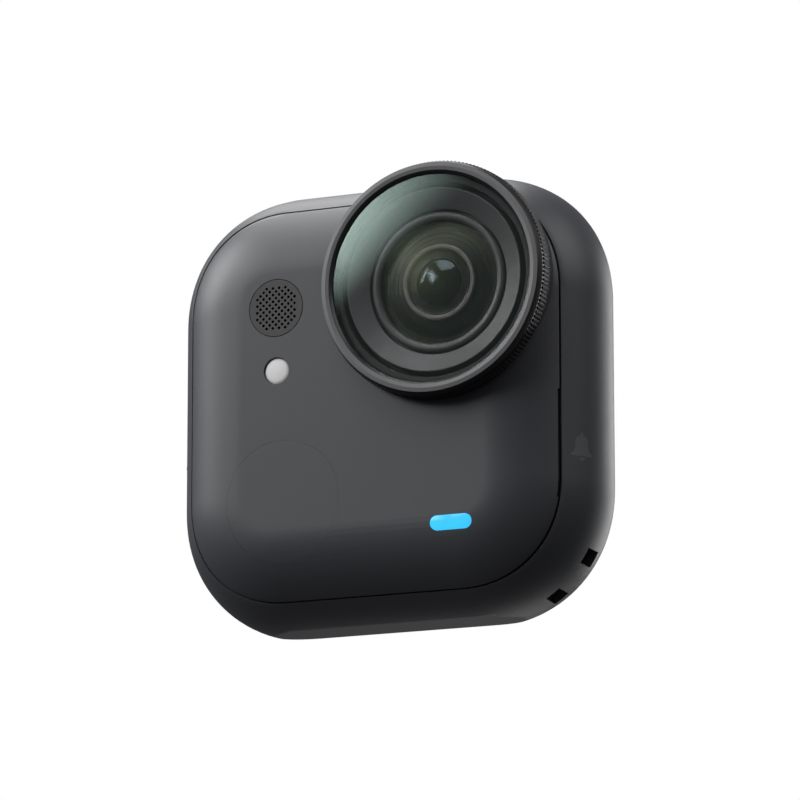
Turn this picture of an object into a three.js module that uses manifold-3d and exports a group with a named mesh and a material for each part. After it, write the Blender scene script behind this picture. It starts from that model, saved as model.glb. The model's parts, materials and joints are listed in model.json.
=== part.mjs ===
// Small square action camera: pillow-shaped body, screw-off lens guard, front shutter button, top power button,
// side card door, magnetic back and lanyard loop.
// Millimetres, +Z up. The lens looks along -Y. The origin is the middle of the flat base, in the plane where the
// body is widest.
import * as THREE from 'three';
import { mergeVertices } from 'three/addons/utils/BufferGeometryUtils.js';
import Module from 'manifold-3d';

const wasm = await Module();
wasm.setup();

// ---------------------------------------------------------------------------------------------- driving sizes
const bodyWidth = 46;
const bodyHeight = 45.4;          // from the flat base to the top
const frontDepth = 9.7;           // widest plane to the flat of the front face
const rearDepth = 6;              // widest plane to the flat of the back
const baseCut = 0.5;              // what the flat base takes off the rounded outline
const cornerRadius = 13.5;
const cornerPower = 2.13;         // 2 is a plain arc; a little more is a softer, squarer corner
const edgeInset = 9.85;           // how far the soft edges reach in over the front and the back
const wall = 1.2;
const seamToFront = 2.9;          // front flat back to the seam plane
const seamGap = 0.14;

const fit = 0.1;                  // gap between pieces that don't move against each other
const slideGap = 0.16;            // gap round a piece that moves
const stackGap = 0.06;            // gap between flat pieces stacked along an axis

const lensFromRight = 14.57;      // lens axis to the right side and to the top
const lensFromTop = 12.46;
const lensBossRadius = 11.3;
const guardRadius = 12.1;         // knurled band
const guardFaceRadius = 11.7;     // front land
const guardHeight = 2.6;          // how far the guard stands proud of the front face
const threadRadius = 10.6;        // bore that the guard screws into
const threadDepth = 2.35;
const barrelOuter = 8.3;
const guardGlassRadius = 10.55;
const guardGlassThickness = 0.7;
const trimOuter = 9.4;            // grey ring round the lens

const micFromLeft = 13.53;
const micFromTop = 13.4;
const micRadius = 2.95;
const lightFromLeft = 13.6;
const lightFromTop = 19.9;
const lightRadius = 1.31;
const statusFromRight = 13.4;
const statusFromBase = 8.53;
const statusLength = 4.4;
const statusHeight = 1.46;
const soundSlotFromBase = 10.7;

const shutterFromLeft = 14.3;
const shutterFromBase = 12.05;
const shutterRadius = 6.25;
const shutterLip = 0.45;          // flange past the cap, behind the cover
const shutterTravel = 0.35;

const powerFromLeft = 15;
const powerLength = 8;
const powerWidth = 2.8;
const powerTravel = 0.35;

const doorLength = 16;            // along the side, upwards
const doorWidth = 5.8;            // front to back
const doorFromTop = 10.3;
const doorRadius = 1.5;
const hingeToDoor = 1.25;         // hinge axis down from the door's lower edge
const hingeFromSide = 1.15;
const hingePinRadius = 0.4;
const knuckleRadius = 0.85;
const knuckleWidth = 1.3;

const cardWidth = 11;
const cardLength = 15;
const cardThickness = 0.8;
const cardTravel = 1;             // out, when the spring catch lets go
const cardPushIn = 0.4;           // further in, to release the catch

const bossRadius = 1.6;
const screwRadius = 0.55;
const screwHeadRadius = 1.15;
const screwHeadHeight = 0.55;

const lanyardWidth = 2.1;         // front to back
const lanyardHole = 7.3;          // degrees of the corner that each hole takes
const lanyardBar = 13.8;          // degrees of the corner between the two holes
const lanyardStart = -37.0;       // degrees below level where the upper hole starts
const lanyardBarThickness = 1;
const lanyardDuctDepth = 1.3;     // behind the bar

const magnetRadius = 3.6;
const magnetThickness = 1.2;
const magnetSpread = 8;           // from the middle of the back, both ways
const yokeThickness = 1;
const contactCount = 5;
const contactPitch = 2.1;
const contactRadius = 0.7;
const contactFromBase = 13.1;
const contactHalfHeight = 1.2;

// ------------------------------------------------------------------------------------------------ places
const halfWidth = bodyWidth / 2;
const halfHeight = (bodyHeight + baseCut) / 2;
const middleZ = bodyHeight - halfHeight;
const frontY = -frontDepth;
const rearY = rearDepth;
const seamY = frontY + seamToFront;
const innerFrontY = frontY + wall;
const innerRearY = rearY - wall;
const lens = { x: halfWidth - lensFromRight, z: bodyHeight - lensFromTop };
const mic = { x: -halfWidth + micFromLeft, z: bodyHeight - micFromTop };
const light = { x: -halfWidth + lightFromLeft, z: bodyHeight - lightFromTop };
const statusLight = { x: halfWidth - statusFromRight, z: statusFromBase };
const shutter = { x: -halfWidth + shutterFromLeft, z: shutterFromBase };
const power = { x: -halfWidth + powerFromLeft, y: -0.6 };
const boardFrontY = frontY + 4.2;
const boardThickness = 0.8;
const frameFrontY = boardFrontY + boardThickness + 0.3;
const frameThickness = 0.6;
const frameRearY = frameFrontY + frameThickness;
const yokeRearY = innerRearY - fit - magnetThickness;
const yokeFrontY = yokeRearY - yokeThickness;
const arcs = {                    // centres of the corner arcs
  right: halfWidth - cornerRadius,
  low: middleZ - halfHeight + cornerRadius,
  high: middleZ + halfHeight - cornerRadius,
};

// ------------------------------------------------------------------------------------------------ materials
const finish = (color, roughness, metalness = 0) => new THREE.MeshStandardMaterial({ color, roughness, metalness });
const shellPlastic = finish(0x3b3c3f, 0.5);
const blackPlastic = finish(0x141416, 0.4);
const guardMetal = finish(0x2a2b2e, 0.35, 0.6);
const trimMetal = finish(0x5c5c5e, 0.45, 0.5);
const glass = finish(0xaebfb8, 0.05);
const rubber = finish(0x18181a, 0.8);
const lampWhite = finish(0xdcdcdc, 0.4);
const lampBlue = finish(0x29b7f6, 0.3);
const boardGreen = finish(0x16452c, 0.55);
const chipBlack = finish(0x101012, 0.45);
const steel = finish(0x9a9ca0, 0.35, 1);
const gold = finish(0xd1a548, 0.3, 1);
const foil = finish(0x74777b, 0.5, 0.4);
const mesh = finish(0x232326, 0.7, 0.3);

// ------------------------------------------------------------------------------------------------ solids
function solid(geometry) {
  const bare = geometry.clone();
  for (const name of ['normal', 'uv']) bare.deleteAttribute(name);
  const merged = mergeVertices(bare, 1e-4);
  const corners = merged.index.array;
  const kept = [];
  for (let i = 0; i < corners.length; i += 3) {
    const [a, b, c] = [corners[i], corners[i + 1], corners[i + 2]];
    if (a !== b && b !== c && c !== a) kept.push(a, b, c);
  }
  return new wasm.Manifold(new wasm.Mesh({
    numProp: 3,
    vertProperties: new Float32Array(merged.attributes.position.array),
    triVerts: new Uint32Array(kept),
  }));
}

const join = (first, ...others) => others.reduce((all, one) => all.add(one), first);
const cut = (first, ...others) => others.reduce((all, one) => all.subtract(one), first);

function block([x0, x1], [y0, y1], [z0, z1]) {
  const box = new THREE.BoxGeometry(x1 - x0, y1 - y0, z1 - z0);
  return solid(box.translate((x0 + x1) / 2, (y0 + y1) / 2, (z0 + z1) / 2));
}

const rounds = (radius) => (radius > 9 ? 40 : radius > 4 ? 28 : radius > 1.5 ? 16 : 10);

// A round bar along Y.
function rod(place, radius, [y0, y1]) {
  const bar = new THREE.CylinderGeometry(radius, radius, y1 - y0, rounds(radius));
  return solid(bar.translate(place.x, (y0 + y1) / 2, place.z));
}

// A turned piece: the profile is a closed run of [radius, y] points, turned about the line along Y through place.
function turned(place, profile) {
  let area = 0;
  profile.forEach(([r, y], i) => {
    const [nextR, nextY] = profile[(i + 1) % profile.length];
    area += r * nextY - nextR * y;
  });
  const run = area < 0 ? [...profile].reverse() : profile;
  const points = [...run, run[0]].map(([r, y]) => new THREE.Vector2(Math.max(r, 0), y));
  const widest = Math.max(...profile.map(([r]) => r));
  return solid(new THREE.LatheGeometry(points, rounds(widest)).translate(place.x, 0, place.z));
}

const ring = (place, inner, outer, [y0, y1]) =>
  turned(place, [[inner, y0], [outer, y0], [outer, y1], [inner, y1]]);

// Points of a spherical face from its rim to the axis, as [radius, y]; the rim is at rimY and the middle at middleY.
function dome(rim, rimY, middleY, steps = 3) {
  const sag = Math.abs(middleY - rimY);
  const sphere = (rim * rim + sag * sag) / (2 * sag);
  const centreY = middleY + Math.sign(rimY - middleY) * sphere;
  const widest = Math.asin(rim / sphere);
  return Array.from({ length: steps + 1 }, (_, i) => {
    const angle = widest * (1 - i / steps);
    return [sphere * Math.sin(angle), centreY - Math.sign(rimY - middleY) * sphere * Math.cos(angle)];
  });
}

// Prisms of a flat shape. Along Y the shape lies in X and Z, along X in Y and Z, and along Z in X and Y.
const X = new THREE.Vector3(1, 0, 0);
const Y = new THREE.Vector3(0, 1, 0);
const Z = new THREE.Vector3(0, 0, 1);
const standing = {
  x: (from) => new THREE.Matrix4().makeBasis(Y, Z, X).setPosition(from, 0, 0),
  y: (from, to) => new THREE.Matrix4().makeBasis(X, Z, Y.clone().negate()).setPosition(0, to, 0),
  z: (from) => new THREE.Matrix4().makeBasis(X, Y, Z).setPosition(0, 0, from),
};
function prism(shape, axis, [from, to]) {
  const made = new THREE.ExtrudeGeometry(shape, { depth: to - from, bevelEnabled: false, curveSegments: 4 });
  return solid(made.applyMatrix4(standing[axis](from, to)));
}

function roundedBox(u, v, width, height, radius) {
  const [left, low, r] = [u - width / 2, v - height / 2, radius];
  const shape = new THREE.Shape();
  shape.moveTo(left + r, low);
  shape.absarc(left + width - r, low + r, r, -Math.PI / 2, 0);
  shape.absarc(left + width - r, low + height - r, r, 0, Math.PI / 2);
  shape.absarc(left + r, low + height - r, r, Math.PI / 2, Math.PI);
  shape.absarc(left + r, low + r, r, Math.PI, Math.PI * 1.5);
  return shape;
}

// ------------------------------------------------------------------------------------------------ body form
// The body's outline seen from the front, taken in by inset: a rectangle with soft superelliptic corners.
const cornerSteps = 6;
function outline(inset) {
  const radius = Math.max(cornerRadius - inset, 0.5);
  const [flatX, flatZ] = [halfWidth - inset - radius, halfHeight - inset - radius];
  const points = [];
  for (const [sx, sz] of [[1, 1], [-1, 1], [-1, -1], [1, -1]]) {
    for (let i = 0; i <= cornerSteps; i++) {
      const share = sx * sz > 0 ? i / cornerSteps : 1 - i / cornerSteps;
      const angle = share * Math.PI / 2;
      const reach = (side) => Math.max(side, 0) ** (2 / cornerPower) * radius;
      points.push(new THREE.Vector2(
        sx * (flatX + reach(Math.cos(angle))), middleZ + sz * (flatZ + reach(Math.sin(angle)))));
    }
  }
  return points;
}
const plate = (inset, span) => prism(new THREE.Shape(outline(inset)), 'y', span);

// The pillow: rings of the outline along Y, each taken in along a quarter ellipse, closed by a fan at both ends.
// Shell is how far every face is taken in.
const edgeSteps = 6;
function pillow(shell) {
  const rings = [];
  for (let i = -edgeSteps; i <= edgeSteps; i++) {
    const angle = (i / edgeSteps) * Math.PI / 2;
    const depth = (i < 0 ? frontDepth : rearDepth) - shell;
    const inset = shell + (edgeInset - shell) * (1 - Math.cos(angle));
    rings.push(outline(inset).map((p) => new THREE.Vector3(p.x, depth * Math.sin(angle), p.y)));
  }
  const count = rings[0].length;
  const ends = [rings[0], rings.at(-1)].map((points) => new THREE.Vector3(0, points[0].y, middleZ));
  const vertices = [...rings.flat(), ...ends];
  const faces = [];
  for (let i = 0; i < count; i++) {
    const next = (i + 1) % count;
    for (let k = 0; k + 1 < rings.length; k++) {
      const [a, b, c, d] = [k * count + i, k * count + next, (k + 1) * count + next, (k + 1) * count + i];
      faces.push(a, d, b, b, d, c);
    }
    faces.push(i, next, rings.length * count);
    faces.push((rings.length - 1) * count + next, (rings.length - 1) * count + i, rings.length * count + 1);
  }
  const form = new THREE.BufferGeometry().setFromPoints(vertices);
  form.setIndex(faces);
  return solid(form);
}

const far = 60;
const bodyForm = cut(
  join(pillow(0), rod(lens, lensBossRadius, [frontY, frontY + 6.5])),
  block([-far, far], [-far, far], [-far, 0]));
const cavityForm = pillow(wall);
const ahead = (y) => block([-far, far], [-far, y], [-far, far]);
const behind = (y) => block([-far, far], [y, far], [-far, far]);

// ------------------------------------------------------------------------------------------------ the assembly
const camera = new THREE.Group();
function piece(name, made, material) {
  const { vertProperties, triVerts } = made.getMesh();
  const geometry = new THREE.BufferGeometry();
  geometry.setAttribute('position', new THREE.BufferAttribute(new Float32Array(vertProperties), 3));
  geometry.setIndex(new THREE.BufferAttribute(new Uint32Array(triVerts), 1));
  geometry.computeVertexNormals();
  const node = new THREE.Mesh(geometry, material);
  node.name = name;
  camera.add(node);
}

// --- front cover
const statusShape = (gap) =>
  roundedBox(statusLight.x, statusLight.z, statusLength + 2 * gap, statusHeight + 2 * gap, statusHeight / 2 + gap);
// Sound leaves the speaker through a slot along the seam.
const soundSlot = { z: [soundSlotFromBase, lens.z - threadRadius - 0.74], depth: 0.26 };
function frontCover() {
  const shell = cut(bodyForm.intersect(ahead(seamY)), cut(cavityForm, ahead(innerFrontY)));
  return cut(shell,
    rod(lens, threadRadius, [frontY - 1, seamY + 1]),
    rod(mic, micRadius + fit, [frontY - 1, innerFrontY + 1]),
    rod(light, lightRadius + fit, [frontY - 1, innerFrontY + 1]),
    rod(shutter, shutterRadius + fit, [frontY - 1, seamY - 0.02]),
    prism(statusShape(fit), 'y', [frontY - 1, innerFrontY + 1]),
    block([halfWidth - 6, halfWidth], [seamY - soundSlot.depth, seamY + 1], soundSlot.z));
}
piece('front_cover', frontCover(), shellPlastic);
const sealInset = 5.15;
const sealWidth = 0.6;
const sealY = [seamY - 0.25, seamY + 0.75];
piece('front_seal', cut(
  plate(sealInset, sealY),
  plate(sealInset + sealWidth, [sealY[0] - 1, sealY[1] + 1]),
  rod(lens, threadRadius + wall, [sealY[0] - 1, sealY[1] + 1])), rubber);
// Everything that the shutter button may fill: ahead of the seal at full travel, or inside its ring.
const clearOfSeal = join(
  ahead(sealY[0] - shutterTravel - fit), plate(sealInset + sealWidth + slideGap, [frontY - 1, seamY + 5]));

// --- screw bosses: one in each corner, the lower right one drawn in to leave room for the lanyard loop
const bossReach = cornerRadius - 4.2;
const diagonal = Math.SQRT1_2;
const bossPlaces = [[-1, -1, bossReach], [1, -1, bossReach - 1.1], [1, 1, bossReach], [-1, 1, bossReach]].map(
  ([sx, sz, reach]) => ({
    x: sx * (arcs.right + reach * diagonal),
    z: (sz > 0 ? arcs.high : arcs.low) + sz * reach * diagonal,
  }));

// --- lanyard loop: two holes in the corner, joined by a duct behind a bar
const turn = (degrees) => THREE.MathUtils.degToRad(degrees);
function cornerSector(inner, outer, from, to) {
  const shape = new THREE.Shape();
  shape.absarc(arcs.right, arcs.low, outer, turn(from), turn(to), true);
  shape.absarc(arcs.right, arcs.low, inner, turn(to), turn(from), false);
  return shape;
}
const ductOuter = cornerRadius - lanyardBarThickness;
const ductInner = ductOuter - lanyardDuctDepth;
const lanyardEnd = lanyardStart - 2 * lanyardHole - lanyardBar;
const lanyardY = [-lanyardWidth, 0];
function lanyardPocket() {
  const around = 6;               // degrees of wall past each hole
  const block0 = cornerSector(ductInner - 0.8, cornerRadius + 1, lanyardStart + around, lanyardEnd - around);
  return prism(block0, 'y', [lanyardY[0] - 1, lanyardY[1] + 1]).intersect(bodyForm);
}
function lanyardDuct() {
  const beyond = cornerRadius + 2;
  return join(
    prism(cornerSector(ductInner, ductOuter, lanyardStart, lanyardEnd), 'y', lanyardY),
    prism(cornerSector(ductInner + 0.2, beyond, lanyardStart, lanyardStart - lanyardHole), 'y', lanyardY),
    prism(cornerSector(ductInner + 0.2, beyond, lanyardEnd + lanyardHole, lanyardEnd), 'y', lanyardY));
}

// --- card door on the left side, hung on a pin below it
const doorZ = [bodyHeight - doorFromTop - doorLength, bodyHeight - doorFromTop];
const doorY = -0.5;                                     // middle of the door, front to back
const hinge = { x: -halfWidth + hingeFromSide, z: doorZ[0] - hingeToDoor };
const doorInnerX = -halfWidth + 1.75;
const knuckleYs = [-1, 1].map((side) => doorY + side * (doorWidth / 2 - knuckleWidth / 2 - 0.5));
const doorShape = (gap) =>
  roundedBox(doorY, (doorZ[0] + doorZ[1]) / 2, doorWidth + 2 * gap, doorLength + 2 * gap, doorRadius + gap);
const cardBayX = [-halfWidth + 3, -halfWidth + 4];
const knuckleSpan = (y, gap) => [y - knuckleWidth / 2 - gap, y + knuckleWidth / 2 + gap];
const pinSpan = [knuckleYs[0] - knuckleWidth, knuckleYs[1] + knuckleWidth];
function doorRecess() {
  const notches = knuckleYs.map((y) => block(
    [-halfWidth - 1, hinge.x + knuckleRadius + slideGap], knuckleSpan(y, slideGap),
    [hinge.z - knuckleRadius - slideGap, doorZ[0] + 0.5]));
  // The ledge below the door is rounded about the pin, so that the door's lower edge swings past it.
  const doorSpan = [doorY - doorWidth / 2 - slideGap, doorY + doorWidth / 2 + slideGap];
  const ledge = cut(block([-halfWidth - 1, hinge.x], doorSpan, [hinge.z, doorZ[0]]),
    rod(hinge, hingeToDoor - fit, [doorSpan[0] - 1, doorSpan[1] + 1]));
  return join(prism(doorShape(slideGap), 'x', [-halfWidth - 1, cardBayX[0]]), ledge, ...notches,
    rod(hinge, hingePinRadius + 0.06, [pinSpan[0] - 0.06, pinSpan[1] + 0.06]));
}
// The card lies flat behind the door, short of it by its own travel.
const grown = ([low, high], gap) => [low - gap, high + gap];
const cardStartX = doorInnerX + cardTravel + 0.35;
const cardX = [cardStartX, cardStartX + cardLength];
const cardY = [-1.7, -1.7 + cardThickness];
const cardMiddleZ = (doorZ[0] + doorZ[1]) / 2;
const cardZ = [cardMiddleZ - cardWidth / 2, cardMiddleZ + cardWidth / 2];
const cardSocketWall = 0.7;
// Solid ground for the hinge pin, inside the wall below the door.
const hingeGround = block(
  [-halfWidth, hinge.x + knuckleRadius + 0.7], [pinSpan[0] - 0.6, pinSpan[1] + 0.6],
  [hinge.z - knuckleRadius - 0.8, doorZ[0] - slideGap]).intersect(bodyForm);
function cardDoor() {
  const lid = prism(doorShape(0), 'x', [-halfWidth - 1, doorInnerX]).intersect(bodyForm);
  const knuckles = knuckleYs.map((y) => join(
    rod(hinge, knuckleRadius, knuckleSpan(y, 0)),
    block([hinge.x - knuckleRadius + 0.25, hinge.x + 0.25], knuckleSpan(y, 0), [hinge.z, doorZ[0] + 0.6])));
  const pinHole = rod(hinge, hingePinRadius + 0.08, [pinSpan[0], pinSpan[1]]);
  return cut(join(lid, ...knuckles), pinHole);
}
piece('card_door', cardDoor(), shellPlastic);
piece('door_hinge_pin', rod(hinge, hingePinRadius, pinSpan), steel);

// --- power button on the top
const powerShape = (gap) =>
  roundedBox(power.x, power.y, powerLength + 2 * gap, powerWidth + 2 * gap, powerWidth / 2 + gap);
const powerFlangeTop = bodyHeight - wall - 0.55;
const powerFlange = 0.45;
const powerSwitchTop = powerFlangeTop - powerFlange - powerTravel - 0.1;

// --- rear housing
function rearHousing() {
  const shell = cut(bodyForm.intersect(behind(seamY + seamGap)), cavityForm, rod(lens, threadRadius, [seamY, -4]));
  const bosses = bossPlaces.map(
    (place) => rod(place, bossRadius, [frameRearY + stackGap, innerRearY + 0.5]).intersect(bodyForm));
  const pilots = bossPlaces.map((place) => rod(place, screwRadius + 0.1, [frameRearY - 1, frameRearY + 5]));
  const ground = cut(join(lanyardPocket(), hingeGround), ahead(seamY + seamGap));
  return cut(join(shell, ...bosses, ground), ...pilots,
    lanyardDuct(), doorRecess(),
    prism(powerShape(slideGap), 'z', [bodyHeight - wall - 1, bodyHeight + 1]),
    contactHole());
}
// --- contacts set in the back
const contact = { x: 0, z: contactFromBase };
const contactRow = Array.from({ length: contactCount }, (_, i) =>
  ({ x: contact.x + (i - (contactCount - 1) / 2) * contactPitch, z: contact.z }));
const contactShape = (gap) => roundedBox(contact.x, contact.z,
  contactCount * contactPitch + 0.6 + 2 * gap, 2 * (contactHalfHeight + gap), contactHalfHeight + gap);
const contactHole = () => prism(contactShape(fit), 'y', [innerRearY - 0.3, rearY + 1]);
piece('rear_housing', rearHousing(), shellPlastic);
piece('contact_insert', cut(
  prism(contactShape(0), 'y', [innerRearY - 0.3, rearY - 0.1]),
  ...contactRow.map((place) => rod(place, contactRadius + 0.05, [innerRearY - 1, rearY + 1]))), blackPlastic);
contactRow.forEach((place, i) =>
  piece(`contact_pad_${i + 1}`, rod(place, contactRadius, [innerRearY - 0.7, rearY - 0.04]), gold));

// --- back magnets and their yoke
const lowerMagnetZ = contact.z + contactHalfHeight + magnetRadius + 0.05;
piece('magnet_yoke', prism(roundedBox(0, middleZ, 25, 31, 3), 'y', [yokeFrontY, yokeRearY]), steel);
[[-1, -1], [1, -1], [1, 1], [-1, 1]].forEach(([sx, sz], i) => {
  const place = { x: sx * magnetSpread, z: sz > 0 ? middleZ + magnetSpread : lowerMagnetZ };
  piece(`mount_magnet_${i + 1}`,
    rod(place, magnetRadius, [yokeRearY + stackGap, yokeRearY + stackGap + magnetThickness - 0.1]), steel);
});

// --- mid frame, main board and battery
const frameInset = 3;
const lensClear = 8.9;
piece('mid_frame', cut(
  plate(frameInset, [frameFrontY, frameRearY]),
  rod(lens, lensClear, [frameFrontY - 1, frameRearY + 1]),
  ...bossPlaces.map((place) => rod(place, screwRadius + 0.15, [frameFrontY - 1, frameRearY + 1]))), foil);
bossPlaces.forEach((place, i) => {
  const head = rod(place, screwHeadRadius, [frameFrontY - stackGap - screwHeadHeight, frameFrontY - stackGap]);
  piece(`frame_screw_${i + 1}`, join(head, rod(place, screwRadius, [frameFrontY - 0.2, frameRearY + 4])), steel);
});
const lensBay = [lens.x - lensBossRadius - 0.4, lens.z - lensBossRadius + 1.6];
piece('main_board', cut(
  plate(frameInset + 1.3, [boardFrontY, boardFrontY + boardThickness]),
  block([lensBay[0], far], [boardFrontY - 1, boardFrontY + 2], [lensBay[1], far]),
  ...bossPlaces.map((place) => rod(place, screwHeadRadius + 0.5, [boardFrontY - 1, boardFrontY + 2]))), boardGreen);
const chipTop = lens.z - barrelOuter - 4.3;
const chip = { x: [-1, 8], z: [chipTop - 8, chipTop] };
piece('processor', block(chip.x, [boardFrontY - 0.06 - 1.1, boardFrontY - 0.06], chip.z), chipBlack);
piece('thermal_pad', block(
  [chip.x[0] + 0.5, chip.x[1] - 0.5], [boardFrontY - 1.8, boardFrontY - 1.22],
  [chip.z[0] + 0.5, chip.z[1] - 0.5]), rubber);
const batteryX = [bossPlaces[0].x + bossRadius + 0.4, halfWidth - 10.8];
const batteryZ = [4.4, Math.min(cardZ[0] - cardSocketWall, lens.z - barrelOuter) - 0.4];
const batteryY = [frameRearY + 1.15, yokeFrontY - 0.3];
piece('battery', block(batteryX, batteryY, batteryZ), foil);

// --- speaker beside the battery, sounding out of the seam slot
const speakerX = [batteryX[1] + 0.5, halfWidth - 5.6];
const speakerZ = [soundSlot.z[0] - 1.3, soundSlot.z[1] - 0.8];
piece('speaker', prism(
  roundedBox((speakerX[0] + speakerX[1]) / 2, (speakerZ[0] + speakerZ[1]) / 2,
    speakerX[1] - speakerX[0], speakerZ[1] - speakerZ[0], 1.4), 'y',
  [frameRearY + 0.15, frameRearY + 4.4]), chipBlack);

// --- microphone
piece('mic_grille', rod(mic, micRadius, [frontY, frontY + 0.8]), shellPlastic);
piece('mic_membrane', rod(mic, micRadius - 0.1, [frontY + 0.86, frontY + 1.06]), mesh);
piece('mic_capsule', rod(mic, 2, [boardFrontY - 2.2, boardFrontY - 0.06]), steel);

// --- round lamp
piece('light_window', join(
  rod(light, lightRadius, [frontY + 0.02, innerFrontY + 0.6]),
  rod(light, lightRadius + 0.6, [innerFrontY + fit, innerFrontY + 0.6])), lampWhite);
piece('light_led', block(
  [light.x - 0.8, light.x + 0.8], [boardFrontY - 0.86, boardFrontY - 0.06], [light.z - 0.8, light.z + 0.8]), lampWhite);

// --- status lamp
const statusFlangeY = innerFrontY + 0.7;
piece('status_light_pipe', join(
  prism(statusShape(0), 'y', [frontY - 1, statusFlangeY + 0.6]).intersect(pillow(0.02)),
  prism(statusShape(0.5), 'y', [statusFlangeY, statusFlangeY + 0.6])), lampBlue);
piece('status_led', block(
  [statusLight.x - 1, statusLight.x + 1], [boardFrontY - 0.76, boardFrontY - 0.06],
  [statusLight.z - 0.5, statusLight.z + 0.5]), lampWhite);

// --- shutter button: a cap that follows the front face, a flange that keeps it in, and a stem to the switch
const shutterCapEnd = innerFrontY + 1.2;
const shutterFlange = 0.45;
const shutterStemEnd = shutterCapEnd + shutterFlange + 0.25;
piece('shutter_button', join(
  rod(shutter, shutterRadius, [frontY - 1, shutterCapEnd + 0.1]).intersect(pillow(0.01)),
  rod(shutter, shutterRadius + shutterLip, [shutterCapEnd, shutterCapEnd + shutterFlange])
    .intersect(pillow(wall + slideGap)),
  rod(shutter, 1.2, [shutterCapEnd, shutterStemEnd])).intersect(clearOfSeal), shellPlastic);
const switchTopY = shutterStemEnd + shutterTravel + 0.08;
piece('shutter_switch', block(
  [shutter.x - 1.7, shutter.x + 1.7], [switchTopY, boardFrontY - 0.06],
  [shutter.z - 1.7, shutter.z + 1.7]), steel);
piece('shutter_seal', ring(shutter, shutterRadius - 1.2, shutterRadius - 0.2,
  [shutterCapEnd + shutterFlange + shutterTravel + 0.08, boardFrontY - 0.08]).intersect(clearOfSeal), rubber);

// --- power button and its switch
piece('power_button', join(
  prism(powerShape(0), 'z', [powerFlangeTop - 0.1, bodyHeight + 1]).intersect(pillow(0.01)),
  prism(powerShape(0.5), 'z', [powerFlangeTop - powerFlange, powerFlangeTop])), shellPlastic);
piece('power_switch', block(
  [power.x - 1.6, power.x + 1.6], [power.y - 1.3, power.y + 1.3],
  [powerSwitchTop - 1.4, powerSwitchTop]), steel);

// --- memory card in its socket, behind the door
piece('memory_card', block(cardX, cardY, cardZ), chipBlack);
piece('card_socket', cut(
  block([cardBayX[1] + stackGap, cardX[1] + 1.3], [cardY[0] - 0.5, cardY[1] + 0.9], grown(cardZ, cardSocketWall)),
  block([cardX[0], cardX[1] + cardPushIn + 0.1], grown(cardY, 0.08), grown(cardZ, 0.1))), steel);
piece('card_bay', cut(
  prism(doorShape(-0.1), 'x', grown(cardBayX, -stackGap)).intersect(pillow(wall + fit)),
  block([-halfWidth, 0], grown(cardY, 0.15), grown(cardZ, 0.2))), blackPlastic);
const doorSealX = grown([doorInnerX, cardBayX[0]], -stackGap);
piece('door_seal', cut(
  prism(doorShape(-0.3), 'x', doorSealX),
  prism(doorShape(-1), 'x', grown(doorSealX, 1))), rubber);

// --- lens: everything below is turned about the lens axis
const guardFrontY = frontY - guardHeight;
const guardBaseY = frontY - 0.14;
const glassFrontY = guardFrontY + 0.5;
const glassRearY = glassFrontY + guardGlassThickness;
const skirt = [threadRadius - 0.7, threadRadius - 0.1];
piece('guard_ring', turned(lens, [
  [guardFaceRadius, guardFrontY], [guardRadius - 0.15, guardFrontY + 0.8], [guardRadius, guardFrontY + 1.1],
  [guardRadius, guardBaseY], [skirt[1], guardBaseY], [skirt[1], frontY + threadDepth],
  [skirt[0], frontY + threadDepth], [skirt[0], glassRearY + 0.3],
  [guardGlassRadius + 0.1, glassRearY + 0.3], [guardGlassRadius + 0.1, glassFrontY - 0.1],
  [guardFaceRadius - 0.8, guardFrontY]]), guardMetal);
piece('guard_glass', turned(lens, [
  ...dome(guardGlassRadius, glassFrontY, guardFrontY + 0.2), [0, glassRearY], [guardGlassRadius, glassRearY]]), glass);
piece('guard_gasket', ring(lens, guardGlassRadius - 0.6, guardGlassRadius,
  [glassRearY + 0.05, glassRearY + 0.25]), rubber);
piece('guard_seal', ring(lens, trimOuter + 0.05, skirt[0] - 0.05, [frontY + 0.5, frontY + 1]), rubber);

const trimY = glassRearY + 0.04;  // rim of the grey ring, which slopes in to the lens from there
const trimInner = 7.42;
const barrelFrontY = frontY + 0.4;
const elementSeatY = frontY + 0.62;
const elementRadius = 6.15;
const barrelNeck = 6.9;
const noseBore = 3.4;
const bayRadius = 4.4;            // bore behind the nose, for the inner elements
piece('lens_trim_ring', turned(lens, [
  [trimInner, frontY - 0.27], [trimOuter - 0.1, trimY], [trimOuter, trimY], [trimOuter, frontY + 2.4],
  [barrelOuter + 0.1, frontY + 2.4], [barrelOuter + 0.1, barrelFrontY - 0.1], [trimInner, barrelFrontY - 0.1]]),
trimMetal);
piece('lens_retainer_ring',
  ring(lens, elementRadius + 0.15, 7.2, [frontY - 0.3, barrelFrontY - stackGap]), trimMetal);
piece('front_element', turned(lens, [
  ...dome(elementRadius, frontY, frontY - 1.05),
  ...dome(elementRadius - 0.55, frontY + 0.35, frontY - 0.6).reverse(),
  [elementRadius - 0.55, elementSeatY - stackGap], [elementRadius, elementSeatY - stackGap]]), glass);
piece('lens_barrel', turned(lens, [
  [noseBore, frontY + 0.45], [noseBore + 0.55, frontY + 0.45], [elementRadius - 0.45, elementSeatY],
  [elementRadius + 0.1, elementSeatY], [elementRadius + 0.1, barrelFrontY], [barrelOuter, barrelFrontY],
  [barrelOuter, frontY + 3.1], [barrelNeck, frontY + 3.1], [barrelNeck, frontY + 8.4],
  [bayRadius - 0.2, frontY + 8.4], [bayRadius - 0.2, frontY + 5.4], [bayRadius, frontY + 5.4],
  [bayRadius, frontY + 1.1], [noseBore, frontY + 1.1]]), blackPlastic);
piece('baffle_ring', ring(lens, noseBore - 0.04, noseBore + 0.5, [frontY - 0.05, frontY + 0.39]), trimMetal);
piece('element_spacer', ring(lens, 2.36, noseBore - 0.08, [frontY + 0.1, frontY + 0.9]), blackPlastic);
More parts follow.
